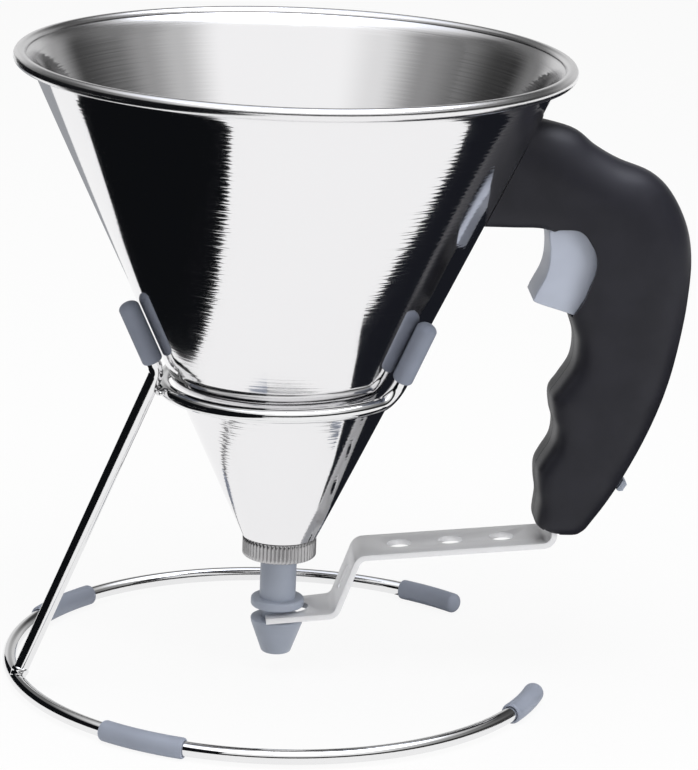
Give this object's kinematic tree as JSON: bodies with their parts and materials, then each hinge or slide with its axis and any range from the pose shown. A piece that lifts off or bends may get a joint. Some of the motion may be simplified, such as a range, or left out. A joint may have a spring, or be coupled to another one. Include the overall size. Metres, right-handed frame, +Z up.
{
  "type": "fondant funnel",
  "caption": "Steel dosing funnel with a trigger handle, a lever-lifted outlet nozzle and an open wire stand with soft grey sleeves.",
  "frame": {"origin": "on the table, under the middle of the bounding box; the cone's axis stands 21.9 mm to the -X side of it", "axes": "+Z up along the cone's axis, +X from the cone towards the handle, -Y towards the side seen in the picture"},
  "size_m": [0.2388, 0.1954, 0.2243],
  "materials": {
    "polished_steel": "mirror polished outside with fine turning lines, brushed inside",
    "satin_steel": "satin",
    "chrome": "bright wire",
    "grey_plastic": "fine matt, moulded",
    "black_plastic": "satin, moulded",
    "soft_grey": "matt, soft",
    "seal_rubber": "matt",
    "spring_steel": "drawn wire"
  },
  "bodies": {
    "stand": {"stand_base_ring": "chrome", "stand_leg": "chrome", "stand_upper_ring": "chrome", "base_cap_front": "soft_grey", "base_cap_rear": "soft_grey", "base_sleeve_front": "soft_grey", "base_sleeve_rear": "soft_grey", "prong_sleeve_front": "soft_grey", "prong_sleeve_rear": "soft_grey", "prong_sleeve_left": "soft_grey"},
    "funnel": {"funnel_cone": "polished_steel", "spout_socket": "satin_steel", "spout_gasket": "seal_rubber", "mounting_bracket": "satin_steel", "handle_shell_left": "black_plastic", "handle_shell_right": "black_plastic", "grip_screw_top": "satin_steel", "grip_screw_middle": "satin_steel", "grip_screw_foot": "satin_steel", "neck_screw_inner": "satin_steel", "neck_screw_outer": "satin_steel", "trigger_pivot_pin": "satin_steel", "lever_pivot_pin": "satin_steel", "return_spring": "spring_steel"},
    "nut": {"knurled_nut": "satin_steel"},
    "nozzle": {"nozzle": "grey_plastic", "nozzle_seal": "seal_rubber"},
    "lever": {"lever_arm": "satin_steel", "lever_carrier": "satin_steel", "lever_screw_left": "satin_steel", "lever_screw_right": "satin_steel", "rod_pin_lower": "satin_steel"},
    "rod": {"pull_rod": "satin_steel"},
    "trigger": {"trigger": "grey_plastic", "rod_pin_upper": "satin_steel"},
    "selector": {"flow_selector": "grey_plastic"}
  },
  "joints": [
    {"name": "lift_off", "type": "slide", "parent": "stand", "child": "funnel", "axis": [0, 0, 1], "range_m": [0, 0.14]},
    {"name": "trigger_pull", "type": "hinge", "parent": "funnel", "child": "trigger", "pos_m": [0.08596, 0, 0.17438], "axis": [0, -1, 0], "range_deg": [0, 10.5], "stiffness_Nm_per_rad": 1, "springref_deg": -8.59},
    {"name": "lever_swing", "type": "hinge", "parent": "funnel", "child": "lever", "pos_m": [0.08603, 0, 0.0687], "axis": [0, 1, 0], "range_deg": [0, 4.75], "deforming": ["return_spring"]},
    {"name": "rod_pull", "type": "slide", "parent": "funnel", "child": "rod", "axis": [0.1558, 0, 0.9878], "range_m": [0, 0.00092]},
    {"name": "nozzle_lift", "type": "slide", "parent": "funnel", "child": "nozzle", "axis": [0, 0, 1], "range_m": [0, 0.00891]},
    {"name": "nut_turn", "type": "hinge", "parent": "funnel", "child": "nut", "pos_m": [-0.02169, 0, 0.0434], "axis": [0, 0, 1], "continuous": true},
    {"name": "selector_slide", "type": "slide", "parent": "funnel", "child": "selector", "axis": [0.515, 0, 0.8572], "range_m": [0, 0.006]}
  ],
  "couplings": [
    {"joint": "lever_swing", "follows": "trigger_pull", "ratio": 0.45133},
    {"joint": "rod_pull", "follows": "trigger_pull", "m_per_rad": 0.004983},
    {"joint": "nozzle_lift", "follows": "trigger_pull", "m_per_rad": 0.048565}
  ]
}
